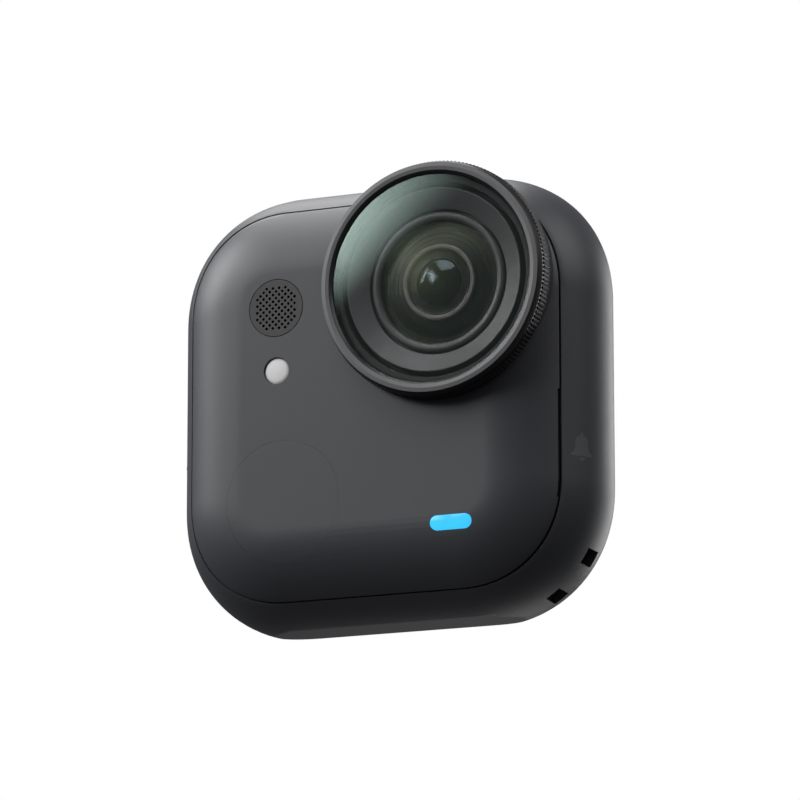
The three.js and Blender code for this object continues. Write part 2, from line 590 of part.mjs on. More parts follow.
piece('second_element', turned(lens, [
  ...dome(2.3, frontY + 0.05, frontY - 0.4), [0, frontY + 0.35], [2.3, frontY + 0.35]]), glass);
piece('aperture_stop', ring(lens, 0.8, 2.3, [frontY + 0.41, frontY + 0.56]), blackPlastic);
piece('third_element', turned(lens, [
  ...dome(bayRadius - 0.1, frontY + 1.7, frontY + 1.2), [0, frontY + 2.6], [bayRadius - 0.1, frontY + 2.6]]), glass);
piece('rear_element', turned(lens, [
  ...dome(4.1, frontY + 6.2, frontY + 5.5), [0, frontY + 7.6], [4.1, frontY + 7.6]]), glass);
piece('ir_filter', rod(lens, 4.1, [frontY + 7.8, frontY + 8.1]), glass);
const sensorY = [frontY + 8.7, frontY + 9.4];
piece('image_sensor', block(
  [lens.x - 5, lens.x + 5], sensorY, [lens.z - 4, lens.z + 4]), chipBlack);
piece('sensor_board', block(
  [lens.x - 7.6, lens.x + 5.5], [sensorY[1] + stackGap, sensorY[1] + 0.86],
  [lens.z - 6.8, lens.z + 6.8]), boardGreen);

// A flat ribbon from the sensor board down and forward, past the mid frame's lens opening, to the main board.
const ribbonX = lens.x - 8.2;
const ribbon = new THREE.Shape([
  [lens.x - 7.7, sensorY[1] + 0.2], [ribbonX - 0.2, sensorY[1] + 0.2], [ribbonX - 0.2, boardFrontY + 1],
  [ribbonX - 0.02, boardFrontY + 1], [ribbonX - 0.02, sensorY[1] + 0.02], [lens.x - 7.7, sensorY[1] + 0.02],
].map(([x, y]) => new THREE.Vector2(x, y)));
piece('sensor_flex', prism(ribbon, 'z', [lens.z - 2.4, lens.z + 2.4]), gold);

export default camera;
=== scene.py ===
# %% [markdown]
# # A small square action camera
# The solid model gives every place and size. Blender adds what a solid model leaves out: soft edges with
# true highlights, the fine grille, the knurled lens guard, coated glass and moulded plastic.
# The packed model is loaded first and is never changed. Its box is kept, because the finished pieces have to
# stay inside it.

# %% Load the packed model
import json
import math

import bpy
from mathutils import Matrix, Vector

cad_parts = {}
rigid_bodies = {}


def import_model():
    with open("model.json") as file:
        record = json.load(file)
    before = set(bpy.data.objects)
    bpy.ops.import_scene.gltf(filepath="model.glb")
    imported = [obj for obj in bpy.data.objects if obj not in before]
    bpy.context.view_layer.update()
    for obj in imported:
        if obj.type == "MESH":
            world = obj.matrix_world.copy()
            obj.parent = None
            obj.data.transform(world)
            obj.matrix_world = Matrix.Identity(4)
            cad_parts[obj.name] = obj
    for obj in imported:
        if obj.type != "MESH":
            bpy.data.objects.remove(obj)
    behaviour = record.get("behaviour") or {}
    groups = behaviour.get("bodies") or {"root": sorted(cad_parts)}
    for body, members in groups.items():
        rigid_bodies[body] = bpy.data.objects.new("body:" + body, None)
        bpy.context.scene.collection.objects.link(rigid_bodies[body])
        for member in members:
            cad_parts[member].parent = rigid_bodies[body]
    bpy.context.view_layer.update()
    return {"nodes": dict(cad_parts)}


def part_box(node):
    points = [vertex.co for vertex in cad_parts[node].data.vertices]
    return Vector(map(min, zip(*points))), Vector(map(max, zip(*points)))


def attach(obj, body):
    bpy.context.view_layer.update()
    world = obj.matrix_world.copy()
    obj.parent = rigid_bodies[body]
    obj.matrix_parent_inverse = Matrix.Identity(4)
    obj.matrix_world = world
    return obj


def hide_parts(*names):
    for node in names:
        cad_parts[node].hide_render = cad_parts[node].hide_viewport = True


for spare in list(bpy.data.objects):
    bpy.data.objects.remove(spare)
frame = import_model()

# %% [markdown]
# ## Working in millimetres
# The camera is only 46 mm wide, so its pieces are drawn in millimetres and turned into metres once, at the
# very end of each piece. Sizes are read from the boxes of the solid model's nodes.

# %% Sizes from the solid model
MM = 0.001


def reach(node):
    """The lowest and highest corner of a node, in millimetres."""
    low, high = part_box(node)
    return low / MM, high / MM


def middle(node):
    low, high = reach(node)
    return (low + high) / 2


rear_low, rear_high = reach("rear_housing")
front_y = reach("mic_grille")[0].y
rear_y = rear_high.y
body_width = rear_high.x - rear_low.x
body_top = rear_high.z
base_cut = 0.5  # what the flat base takes off the rounded outline
body_height = body_top + base_cut
middle_z = body_top - body_height / 2
seam_front = reach("front_cover")[1].y
seam_rear = rear_low.y
lens = middle("guard_ring")
print("body", round(body_width, 2), "x", round(body_height, 2))
print("seam", round(seam_front, 2), "to", round(seam_rear, 2))

# %% Small tools for selecting
def take(*pieces):
    """Selects these pieces only; the first one is active."""
    if bpy.context.mode != "OBJECT":
        bpy.ops.object.mode_set(mode="OBJECT")
    bpy.ops.object.select_all(action="DESELECT")
    for piece in pieces:
        piece.select_set(True)
    bpy.context.view_layer.objects.active = pieces[0]
    return pieces[0]


def start(name, add, **settings):
    """Adds one primitive with nothing else selected, and applies its place, turn and size to its mesh."""
    if bpy.context.mode != "OBJECT":
        bpy.ops.object.mode_set(mode="OBJECT")
    bpy.ops.object.select_all(action="DESELECT")
    size = settings.pop("stretch", None)
    add(**settings)
    piece = bpy.context.object
    piece.name = piece.data.name = name
    if size:
        piece.scale = size
    bpy.ops.object.transform_apply(location=True, rotation=True, scale=True)
    return piece


def edit(piece, kind="FACE", test=None):
    """Opens a piece in edit mode with the faces, edges or corners that pass the test selected, or all."""
    take(piece)
    mesh = piece.data
    bpy.context.tool_settings.mesh_select_mode = (kind == "VERT", kind == "EDGE", kind == "FACE")
    if test:
        for part in (mesh.vertices, mesh.edges, mesh.polygons):
            part.foreach_set("select", [False] * len(part))
        if kind == "FACE":
            mesh.polygons.foreach_set("select", [bool(test(f.center, f.normal)) for f in mesh.polygons])
        elif kind == "EDGE":
            ends = [[mesh.vertices[i].co for i in e.vertices] for e in mesh.edges]
            mesh.edges.foreach_set("select", [bool(test(a, b)) for a, b in ends])
        else:
            mesh.vertices.foreach_set("select", [bool(test(v.co)) for v in mesh.vertices])
    bpy.ops.object.mode_set(mode="EDIT")
    if not test:
        bpy.ops.mesh.select_all(action="SELECT")
    return piece


def leave():
    bpy.ops.object.mode_set(mode="OBJECT")


TOUCH = 1e-4  # corners closer than this, in millimetres, are one


def merge_and_turn_out(piece):
    edit(piece, "VERT")
    bpy.ops.mesh.remove_doubles(threshold=TOUCH)
    bpy.ops.mesh.normals_make_consistent(inside=False)
    leave()
    return piece


print("selected by the load:", sum(thing.select_get() for thing in bpy.data.objects), "objects")

# %% Small tools for shaping
def apply(piece, kind, **settings):
    """Adds a modifier with these settings and applies it."""
    take(piece)
    bpy.ops.object.modifier_add(type=kind)
    modifier = piece.modifiers[-1]
    for key, value in settings.items():
        setattr(modifier, key, value)
    bpy.ops.object.modifier_apply(modifier=modifier.name)
    return piece


def carve(piece, *tools, operation="DIFFERENCE"):
    """Cuts the tools out of the piece, or joins or crosses them with it, and throws the tools away."""
    for tool in tools:
        apply(piece, "BOOLEAN", operation=operation, solver="MANIFOLD", object=tool)
        bpy.data.objects.remove(tool)
    return piece


SHARP_TURN = math.radians(50)


def break_edges(piece, width, segments=2):
    """Rounds the edges at which a piece turns sharply."""
    return apply(piece, "BEVEL", width=width, segments=segments, limit_method="ANGLE", angle_limit=SHARP_TURN)


def double(piece, name):
    """A copy of a piece with its own mesh."""
    take(piece)
    bpy.ops.object.duplicate()
    copy = bpy.context.object
    copy.name = copy.data.name = name
    return copy


def join(*pieces):
    take(*pieces)
    bpy.ops.object.join()
    return pieces[0]


# %% Small tools for solid shapes
FACING = {"x": (0, math.pi / 2, 0), "y": (math.pi / 2, 0, 0), "z": (0, 0, 0)}
AXIS = {"x": 0, "y": 1, "z": 2}


def slab(name, axis, centre, size, radius, span, segments=10):
    """A flat shape with round corners, raised along an axis. Size runs along z, y for x, and x, z for y."""
    place = Vector(centre)
    place[AXIS[axis]] = span[0]
    piece = start(name, bpy.ops.mesh.primitive_plane_add, size=1, location=place, rotation=FACING[axis],
                  stretch=(*size, 1))
    edit(piece, "VERT")
    if radius:
        bpy.ops.mesh.bevel(offset=radius, offset_type="OFFSET", segments=segments, affect="VERTICES")
    bpy.ops.mesh.select_all(action="SELECT")
    rise = Vector((0, 0, 0))
    rise[AXIS[axis]] = span[1] - span[0]
    bpy.ops.mesh.extrude_region_move(TRANSFORM_OT_translate={"value": rise})
    leave()
    return merge_and_turn_out(piece)


def turned(name, profile, place=None, steps=96, soften=0, soft_segments=3):
    """A turned piece: (radius, y) points, closed unless both ends lie on the axis, and spun round it."""
    place = place or lens
    points = [Vector((place.x + r, y, place.z)) for r, y in profile]
    piece = start(name, bpy.ops.mesh.primitive_plane_add, size=0.1, location=points[0])
    edit(piece, "VERT")
    bpy.ops.mesh.merge(type="CENTER")
    for here, there in zip(points, points[1:]):
        bpy.ops.mesh.extrude_vertices_move(TRANSFORM_OT_translate={"value": there - here})
    leave()
    if profile[0][0] > 0 or profile[-1][0] > 0:
        edit(piece, "VERT", lambda v: min((v - points[0]).length, (v - points[-1]).length) < TOUCH)
        bpy.ops.mesh.edge_face_add()
    edit(piece, "VERT")
    if soften:
        bpy.ops.mesh.bevel(offset=soften, offset_type="OFFSET", segments=soft_segments, affect="VERTICES")
        bpy.ops.mesh.select_all(action="SELECT")
    bpy.ops.mesh.spin(steps=steps, angle=2 * math.pi, center=(place.x, 0, place.z), axis=(0, 1, 0))
    leave()
    return merge_and_turn_out(piece)


def bar(name, place, radius, span, steps=64):
    """A round bar along y, mostly used as a cutter."""
    centre = Vector((place[0], sum(span) / 2, place[2]))
    return start(name, bpy.ops.mesh.primitive_cylinder_add, vertices=steps, radius=radius,
                 depth=span[1] - span[0], location=centre, rotation=FACING["y"])


def measure(piece):
    low = Vector([min(v.co[i] for v in piece.data.vertices) for i in range(3)])
    high = Vector([max(v.co[i] for v in piece.data.vertices) for i in range(3)])
    return [round(value, 2) for value in (*low, *high)]


print("a slab or a bar can lie along", list(AXIS))

# %% [markdown]
# ## Finishes
# A finish is a node material. Its sums are written as plain arithmetic: a wrapped socket adds the Math nodes
# that an expression needs. Every other node comes from one method, `node`, so each finish reads as a short
# recipe of noise, colour and bump. A lamp and the surroundings have nodes too, and use the same recipes.

# %% Arithmetic on sockets
class Value:
    """One socket of a recipe, so that shader sums read as arithmetic."""

    def __init__(self, recipe, socket):
        self.recipe, self.socket = recipe, socket

    def sum(self, operation, first, second=0.0):
        return self.recipe.node("ShaderNodeMath", {"operation": operation}, {0: first, 1: second})

    def __add__(self, other):
        return self.sum("ADD", self, other)

    def __sub__(self, other):
        return self.sum("SUBTRACT", self, other)

    def __rsub__(self, other):
        return self.sum("SUBTRACT", other, self)

    def __mul__(self, other):
        return self.sum("MULTIPLY", self, other)

    def __pow__(self, other):
        return self.sum("POWER", self, other)

    def __lt__(self, other):
        return self.sum("LESS_THAN", self, other)

    def __gt__(self, other):
        return self.sum("GREATER_THAN", self, other)

    def __abs__(self):
        return self.sum("ABSOLUTE", self)

    __radd__ = __add__
    __rmul__ = __mul__


print("a socket can be part of + - * ** < > and abs")

# %% Recipes
class Recipe:
    """The nodes of one finish, lamp or surrounding."""

    def __init__(self, tree):
        self.tree = tree

    def node(self, kind, settings=None, inputs=None, out=0):
        """Adds a node: first its settings, then the value or link of each socket."""
        made = self.tree.nodes.new(kind)
        for key, value in (settings or {}).items():
            setattr(made, key, value)
        for key, value in (inputs or {}).items():
            self.feed(made, key, value)
        return Value(self, made.outputs[out])

    def feed(self, node, key, value):
        if isinstance(value, Value):
            self.tree.links.new(value.socket, node.inputs[key])
        else:
            node.inputs[key].default_value = value

    def own(self, name):
        """What a node that was there from the start gives."""
        return Value(self, self.tree.nodes[name].outputs[0])

    def apart(self, vector):
        """The three numbers of a vector."""
        first = self.node("ShaderNodeSeparateXYZ", None, {0: vector})
        return [Value(self, socket) for socket in first.socket.node.outputs]

    def show(self, share, first, second, output="Material Output"):
        """Shows the first shader, and by this share the second one."""
        both = self.node("ShaderNodeMixShader", None, {0: share, 1: first, 2: second})
        self.feed(self.tree.nodes[output], "Surface", both)


print("a recipe has", [name for name in vars(Recipe) if name[0] != "_"])

# %% The finish recipe book
def grey(level, tint=0.0):
    """A near-grey colour; tint leans it towards blue."""
    return (level, level * (1 + tint / 4), level * (1 + tint), 1)


class Finish(Recipe):
    def __init__(self, name, **constants):
        self.material = bpy.data.materials.new(name)
        self.material.use_nodes = True
        super().__init__(self.material.node_tree)
        self.shader = self.tree.nodes["Principled BSDF"]
        self.give(**constants)
        self.place = self.node("ShaderNodeTexCoord", out="Object")

    def noise(self, size, detail=2.0):
        """Noise whose lumps are about this many millimetres across."""
        return self.node("ShaderNodeTexNoise", None,
                         {"Vector": self.place, "Scale": 1 / (size * MM), "Detail": detail})

    def mix(self, share, first, second):
        return self.node("ShaderNodeMix", {"data_type": "RGBA"}, {0: share, 6: first, 7: second}, out=2)

    def axes(self):
        """The three coordinates in millimetres."""
        return [number * (1 / MM) for number in self.apart(self.place)]

    def bump(self, height, depth, strength):
        """A bump that is this many millimetres deep."""
        return self.node("ShaderNodeBump", None,
                         {"Height": height, "Distance": depth * MM, "Strength": strength})

    def give(self, **sockets):
        for key, value in sockets.items():
            self.feed(self.shader, key.replace("_", " "), value)
        return self.material


def moulded(name, dark, light, roughness, grain=0.12, depth=0.004, spread=0.05, cloud=9.0, **constants):
    """Moulded plastic, rubber or paint: a fine grain with slow changes of shade and shine."""
    finish = Finish(name, **constants)
    slow, fine = finish.noise(cloud), finish.noise(grain, 3.0)
    return finish.give(
        Base_Color=finish.mix(slow * 0.6 + fine * 0.4, dark, light),
        Roughness=roughness - spread + slow * (2 * spread),
        Normal=finish.bump(fine, depth, 0.6))


print("a grey that leans blue", [round(value, 3) for value in grey(0.03, 0.2)])

# %% [markdown]
# ## The charcoal shell finish
# The shell is a fine, slightly satin plastic. Its base colour hardly changes; the character is in a very fine
# grain that breaks up the highlight, and a shine that changes a little from place to place. A small bell sign
# beside the sound slot is printed in a slightly lighter grey, drawn here as a mask from sums on the coordinates.

# %% Charcoal shell
bell_y, bell_z = -4.8, 16.0
bell_side = 19.0  # only the right wall lies beyond this x
bell_slimness = 1.15


def bell_mask(finish):
    """1 inside a simple bell, seen from the side, and 0 outside."""
    x, y, z = finish.axes()
    across, up = abs(y - bell_y) * bell_slimness, z - bell_z

    def disc(height, radius_squared):
        return (across * across + (up - height) * (up - height)) < radius_squared

    waist, foot, rim_height, clapper_height = 0.4, -0.75, -0.85, -1.12
    dome, knob = disc(0.35, 0.62), disc(1.22, 0.035)
    flare = (across < (0.78 + (waist - up) ** 3 * 0.22)) * (up < waist) * (up > foot)
    rim = (across < 1.28) * (abs(up - rim_height) < 0.14)
    clapper = disc(clapper_height, 0.13) * (up < clapper_height)
    whole = finish.node("ShaderNodeClamp", None, {0: dome + flare + rim + clapper + knob})
    return whole * (x > bell_side)


def charcoal():
    finish = Finish("charcoal_shell", Specular_IOR_Level=0.5)
    slow, fine, dust = finish.noise(14.0), finish.noise(0.11, 3.0), finish.noise(0.03, 1.0)
    plain = finish.mix(slow * 0.5 + fine * 0.5, grey(0.030, 0.20), grey(0.038, 0.20))
    return finish.give(
        Base_Color=finish.mix(bell_mask(finish) * 0.8, plain, grey(0.075, 0.1)),
        Roughness=0.40 + slow * 0.08 + fine * 0.05,
        Normal=finish.bump(fine + dust * 0.5, 0.003, 0.5))


shell_finish = charcoal()
black_finish = moulded("black_plastic_finish", grey(0.006), grey(0.012), 0.38)
rubber_finish = moulded("soft_rubber", grey(0.008), grey(0.014), 0.75)
grille_finish = moulded("grille_plastic", grey(0.012, 0.03), grey(0.018, 0.03), 0.5)
lamp_finish = moulded("frosted_white", grey(0.55), grey(0.62), 0.5, grain=0.2)


def lit_blue():
    """A lit lamp: its blue glow changes a little at random over its face."""
    finish = Finish("lit_blue_lamp", Emission_Strength=1.0)
    cloud = finish.noise(1.2)
    shade = finish.mix(cloud, (0.028, 0.50, 0.95, 1), (0.045, 0.60, 1.0, 1))
    return finish.give(Base_Color=(0.01, 0.08, 0.2, 1), Emission_Color=shade, Roughness=0.3 + cloud * 0.05)


status_finish = lit_blue()
print("finishes", [finish.name for finish in (shell_finish, black_finish, rubber_finish, grille_finish,
                                              lamp_finish, status_finish)])

# %% Finish a piece
def settle(piece, body, nodes, material, angle=30.0):
    """Turns a finished piece into metres, smooths it, gives it its finish, hangs it on the body it moves with
    and hides the nodes it stands for.
    """
    take(piece)
    piece.scale = (MM, MM, MM)
    bpy.ops.object.transform_apply(location=True, rotation=True, scale=True)
    bpy.ops.object.shade_smooth_by_angle(angle=math.radians(angle), keep_sharp_edges=False)
    apply(piece, "WEIGHTED_NORMAL", keep_sharp=True)
    piece.data.materials.clear()
    piece.data.materials.append(material)
    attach(piece, body)
    if nodes:
        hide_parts(*nodes)
    print(piece.name, len(piece.data.polygons), "faces")
    return piece


# %% [markdown]
# ## The pillow
# Both halves of the shell are one soft pillow. Seen from the front it is a rectangle with soft corners, and
# towards the front and the back its edge rolls over along an ellipse. A plate with beveled corners gives the
# outline, and one inset after another raises the roll, each as wide and as deep as the ellipse asks.

# %% Pillow by insets
corner_radius = 13.5
corner_profile = 0.5216  # a corner a little squarer than a plain arc
corner_steps, edge_steps = 28, 26
edge_inset = 9.85
front_depth, rear_depth = -front_y, rear_y


def plate(name, inset, y, facing):
    """The body's outline, taken in by inset, as one flat face."""
    piece = start(name, bpy.ops.mesh.primitive_plane_add, size=1, location=(0, y, middle_z),
                  rotation=(-facing * math.pi / 2, 0, 0),
                  stretch=(body_width - 2 * inset, body_height - 2 * inset, 1))
    edit(piece, "VERT")
    bpy.ops.mesh.bevel(offset=corner_radius - inset, offset_type="OFFSET", segments=corner_steps,
                       profile=corner_profile, affect="VERTICES")
    leave()
    return piece


def roll_over(piece, depth, first, last):
    """Insets the plate along the ellipse, from one angle to another."""
    edit(piece)
    count = max(2, round(edge_steps * (last - first) / (math.pi / 2)))
    angles = [first + (last - first) * i / count for i in range(count + 1)]
    for here, there in zip(angles, angles[1:]):
        bpy.ops.mesh.inset(thickness=edge_inset * (math.cos(here) - math.cos(there)),
                           depth=depth * (math.sin(there) - math.sin(here)))
    leave()
    return piece


def seam_angle(y):
    return math.asin(-y / front_depth)


def front_skin(name):
    start_angle = seam_angle(seam_front)
    skin = plate(name, edge_inset * (1 - math.cos(start_angle)), seam_front, -1)
    return roll_over(skin, front_depth, start_angle, math.pi / 2)


def rear_skin(name):
    ahead = roll_over(plate(name, 0, 0, -1), front_depth, 0, seam_angle(seam_rear))
    edit(ahead, "FACE", lambda centre, normal: normal.y < -0.9 and centre.y < seam_rear + 0.01)
    bpy.ops.mesh.delete(type="ONLY_FACE")
    leave()
    back = roll_over(plate("back", 0, 0, 1), rear_depth, 0, math.pi / 2)
    whole = join(ahead, back)
    edit(whole, "VERT")
    bpy.ops.mesh.remove_doubles(threshold=TOUCH)
    bpy.ops.mesh.select_all(action="SELECT")
    bpy.ops.mesh.bisect(plane_co=(0, 0, 0), plane_no=(0, 0, 1), use_fill=True, clear_inner=True)
    leave()
    return whole


def thicken(skin):
    """Gives a skin its wall and takes the sharpness off its rim."""
    wall, softness = 1.2, 0.07
    apply(skin, "SOLIDIFY", thickness=wall, offset=-1.0, use_even_offset=True)
    return break_edges(skin, softness)


front_cover = thicken(front_skin("cover_front"))
rear_housing = thicken(rear_skin("housing_rear"))
print("front", measure(front_cover), "rear", measure(rear_housing))

# %% [markdown]
# ## The front cover
# The cover is the flat face with its bores: the lens, the grille, the round lamp, the status lamp and the
# shutter zone. A round boss behind the lens guard carries the thread. Each bore is cut by a turned tool that
# is a little wider at the surface, so its edge is broken as a moulded edge is.

# %% Front cover
FINE_STEPS = 128  # sides of the widest round cuts
lens_bore, boss_radius = 10.6, 11.3
boss_rear = -3.2


def bore(name, place, radius, edge=0.05):
    """A cutter for a bore in the front face, widened by edge at the surface."""
    deep, start_y, clear = seam_rear + 2, front_y - 1, 0.02
    wide = radius + edge + clear
    return turned(name, [(0, start_y), (wide, start_y), (wide, front_y - clear), (radius, front_y + edge),
                         (radius, deep), (0, deep)], place)


def boss(name, span):
    inner = lens_bore - 0.2  # the bore is cut afterwards
    return turned(name, [(inner, span[0]), (boss_radius, span[0]), (boss_radius, span[1]), (inner, span[1])],
                  soften=0.06, soft_segments=2, steps=FINE_STEPS)


mic, light, status = middle("mic_grille"), middle("light_window"), middle("status_light_pipe")
shutter = middle("shutter_seal")
mic_radius, light_radius = 2.95, 1.31
shutter_radius, cap_depth = 6.25, 2.4
shutter_gap = 0.014
status_size = (4.4, 1.46)
lamp_gap = 0.04
slot_depth = 0.15
sound_slot = (10.7, lens.z - lens_bore - 0.74)

carve(front_cover, boss("boss_front", (front_y, seam_front)), operation="UNION")
carve(front_cover, bore("lens_bore", lens, lens_bore), bore("mic_bore", mic, mic_radius + 0.025, 0.04),
      bore("light_bore", light, light_radius + lamp_gap),
      slab("status_bore", "y", status, [v + 2 * lamp_gap for v in status_size], status_size[1] / 2 + lamp_gap,
           (front_y - 1, seam_rear)),
      slab("slot", "y", (20, 0, sum(sound_slot) / 2), (6, sound_slot[1] - sound_slot[0]), 0,
           (seam_front - slot_depth, seam_rear)))
print("front cover", measure(front_cover), len(front_cover.data.polygons))

# %% Shutter cap, cut from the same skin
def solid_front(name):
    """The front skin closed at the seam, so that caps and lamps can be cut from it."""
    skin = front_skin(name)
    edit(skin, "EDGE", lambda a, b: min(a.y, b.y) > seam_front - TOUCH)
    bpy.ops.mesh.edge_face_add()
    leave()
    return skin


cap_tool = bar("cap_tool", shutter, shutter_radius, (front_y - 1, front_y + cap_depth), FINE_STEPS)
shutter_cap = carve(solid_front("cap_shutter"), cap_tool, operation="INTERSECT")
carve(front_cover, bar("shutter_bore", shutter, shutter_radius + shutter_gap, (front_y - 1, seam_rear),
                       FINE_STEPS))
print("cap", measure(shutter_cap))

# %% [markdown]
# ## The rear housing
# The housing is the rest of the pillow, with a flat strip below to stand on. It has the recess for the card
# door on the left, the slot for the power button on top, the row of contacts on the back, and the lanyard
# loop in the lower corner: two holes with a duct behind a bar.

# %% Lanyard loop
arc_x, arc_z = body_width / 2 - corner_radius, middle_z - body_height / 2 + corner_radius
hole_turn, bar_turn, hole_start = 7.3, 13.8, -37.0
lanyard_span = (-2.1, 0.0)
lanyard_wall, duct_depth, ground_ends = 1.0, 1.3, 6
duct_outer = corner_radius - lanyard_wall
duct_inner = duct_outer - duct_depth


def sector(name, inner, outer, first, last, span, steps):
    """A piece of a ring round the corner's arc, made by spinning a small upright face."""
    low = math.radians(first)
    piece = start(name, bpy.ops.mesh.primitive_plane_add, size=1,
                  location=(arc_x + (inner + outer) / 2, sum(span) / 2, arc_z),
                  stretch=(outer - inner, span[1] - span[0], 1))
    edit(piece)
    bpy.ops.transform.rotate(value=low, orient_axis="Y", center_override=(arc_x, 0, arc_z))
    leave()
    tip = Vector((math.cos(low), 0, math.sin(low)))
    centre = sum((v.co for v in piece.data.vertices), Vector()) / 4 - Vector((arc_x, 0, arc_z))
    if centre.z * tip.z < 0:  # with no window the turn may run the other way
        edit(piece)
        bpy.ops.transform.rotate(value=-2 * low, orient_axis="Y", center_override=(arc_x, 0, arc_z))
        leave()
    edit(piece)
    bpy.ops.mesh.spin(steps=steps, angle=math.radians(first - last), center=(arc_x, 0, arc_z), axis=(0, 1, 0))
    leave()
    return merge_and_turn_out(piece)


hole_end = hole_start - 2 * hole_turn - bar_turn
ground = sector("lanyard_ground", duct_inner - 0.8, corner_radius - 0.7, hole_start + ground_ends,
                hole_end - ground_ends, (lanyard_span[0] - lanyard_wall, lanyard_span[1] + lanyard_wall), 24)
print("ground", measure(ground))

# %% Cut and join the housing
side_x = body_width / 2
door_low, door_high = reach("card_door")
door_z = (19.1, door_high.z)
door_size, door_corner = (door_z[1] - door_z[0], 5.8), 1.5
door_middle = Vector((-side_x, -0.5, sum(door_z) / 2))
door_inner_x = -side_x + 1.75
pin = middle("door_hinge_pin")
knuckle_radius, knuckle_width, pin_radius = 0.85, 1.3, 0.4
knuckle_apart = 1.75
knuckle_ys = (door_middle.y - knuckle_apart, door_middle.y + knuckle_apart)
slide_gap, knuckle_room, pin_room = 0.1, 0.16, 0.05
bay_low = reach("card_bay")[0].x

power_gap, insert_gap, insert_depth = 0.08, 0.04, 1.5
power_middle = Vector((-8, -0.6, body_top))
power_size = (8.0, 2.8)
contact_middle = middle("contact_insert")
pad_count, pad_pitch = 5, 2.1
contact_size = (pad_count * pad_pitch + 0.6, 2.4)


def door_cut(name, gap, span):
    return slab(name, "x", door_middle, [v + 2 * gap for v in door_size], door_corner + gap, span)


def box_cut(name, low, high):
    """A plain block between two corners, used to cut or to add ground."""
    low, high = Vector(low), Vector(high)
    return start(name, bpy.ops.mesh.primitive_cube_add, size=1, location=(low + high) / 2, stretch=high - low)


hinge_ground = box_cut("hinge_ground", (-side_x + 1.3, knuckle_ys[0] - 1.5, pin.z - knuckle_radius - 0.8),
                       (pin.x + knuckle_radius + 0.7, knuckle_ys[1] + 1.45, door_z[0] + 0.3))
carve(rear_housing, boss("boss_rear", (seam_rear, boss_rear)), ground, hinge_ground, operation="UNION")
ledge = box_cut("ledge", (-side_x - 1, door_middle.y - door_size[1] / 2 - slide_gap, pin.z),
                (pin.x, door_middle.y + door_size[1] / 2 + slide_gap, door_z[0] + 0.5))
nose = bar("nose", pin, 1.15, (door_middle.y - 4, door_middle.y + 4))
carve(ledge, nose)
notch_reach = knuckle_width / 2 + slide_gap
notches = [box_cut(f"notch_{i}", (-side_x - 1, y - notch_reach, pin.z - knuckle_radius - knuckle_room),
                   (pin.x + knuckle_radius + knuckle_room, y + notch_reach, door_z[0] + 0.5))
           for i, y in enumerate(knuckle_ys)]
pin_bore_end = knuckle_width + 0.06
bore_start, bore_end = seam_rear - 1, -4
rear_bore = turned("rear_bore", [(0, bore_start), (lens_bore, bore_start), (lens_bore, bore_end), (0, bore_end)])
carve(rear_housing, rear_bore, door_cut("door_recess", slide_gap, (-side_x - 1, bay_low)), ledge, *notches,
      bar("pin_bore", pin, pin_radius + pin_room, (knuckle_ys[0] - pin_bore_end, knuckle_ys[1] + pin_bore_end)),
      slab("power_slot", "z", power_middle, [v + 2 * power_gap for v in power_size],
           power_size[1] / 2 + power_gap, (body_top - 2.2, body_top + 1)),
      slab("contact_slot", "y", contact_middle, [v + 2 * insert_gap for v in contact_size],
           contact_size[1] / 2 + insert_gap, (rear_y - insert_depth, rear_y + 1)))
hole_span = (lanyard_span[0] + 0.01, lanyard_span[1] - 0.01)  # a hair inside the duct's own walls
hole_inner, hole_outer = duct_inner + 0.2, corner_radius + 2
carve(rear_housing, sector("duct", duct_inner, duct_outer, hole_start, hole_end, lanyard_span, 16),
      sector("hole_up", hole_inner, hole_outer, hole_start, hole_start - hole_turn, hole_span, 6),
      sector("hole_low", hole_inner, hole_outer, hole_end + hole_turn, hole_end, hole_span, 6))
print("rear housing", measure(rear_housing), len(rear_housing.data.polygons))

# %% Settle the shells
settle(front_cover, "camera_body", ["front_cover"], shell_finish)
settle(rear_housing, "camera_body", ["rear_housing"], shell_finish)
settle(shutter_cap, "shutter_button", ["shutter_button"], shell_finish)

# %% [markdown]
# ## Door, power button and contacts
# The card door and the power button are cut from the same pillow as the housing, so their faces follow it.
# The door has two knuckles that turn on its pin. The contacts lie in an oval insert on the back, each one in
# a small turned well.

# %% Card door
def solid_pillow(name):
    """The rear half of the pillow, closed at the seam."""
    whole = rear_skin(name)
    edit(whole, "EDGE", lambda a, b: max(a.y, b.y) < seam_rear + TOUCH)
    bpy.ops.mesh.edge_face_add()
    leave()
    return whole


lid_tool = door_cut("lid", 0, (-side_x - 1, door_inner_x))
card_door = break_edges(carve(solid_pillow("door_card"), lid_tool, operation="INTERSECT"), 0.08)
knuckles = []
relief_depth, relief_height = 0.2, 0.12
relief = box_cut("lid_relief", (-side_x - 1, door_low.y - 1, door_z[0] - 1),
                 (-side_x + relief_depth, door_high.y + 1, door_z[0] + relief_height))
carve(card_door, relief)  # room for the lower edge when the lid lies right back
arm_shift = 0.25
for i, y in enumerate(knuckle_ys):
    span = (y - knuckle_width / 2, y + knuckle_width / 2)
    knuckle = bar(f"knuckle_{i}", pin, knuckle_radius, span)
    arm = box_cut(f"arm_{i}", (pin.x - knuckle_radius + arm_shift, span[0], pin.z),
                  (pin.x + arm_shift, span[1], door_z[0] + 0.6))
    knuckles.append(carve(knuckle, arm, operation="UNION"))
carve(card_door, *knuckles, operation="UNION")
carve(card_door, bar("door_pin_bore", pin, pin_radius + pin_room, (knuckle_ys[0] - 1, knuckle_ys[1] + 1)))
settle(card_door, "card_door", ["card_door"], shell_finish)

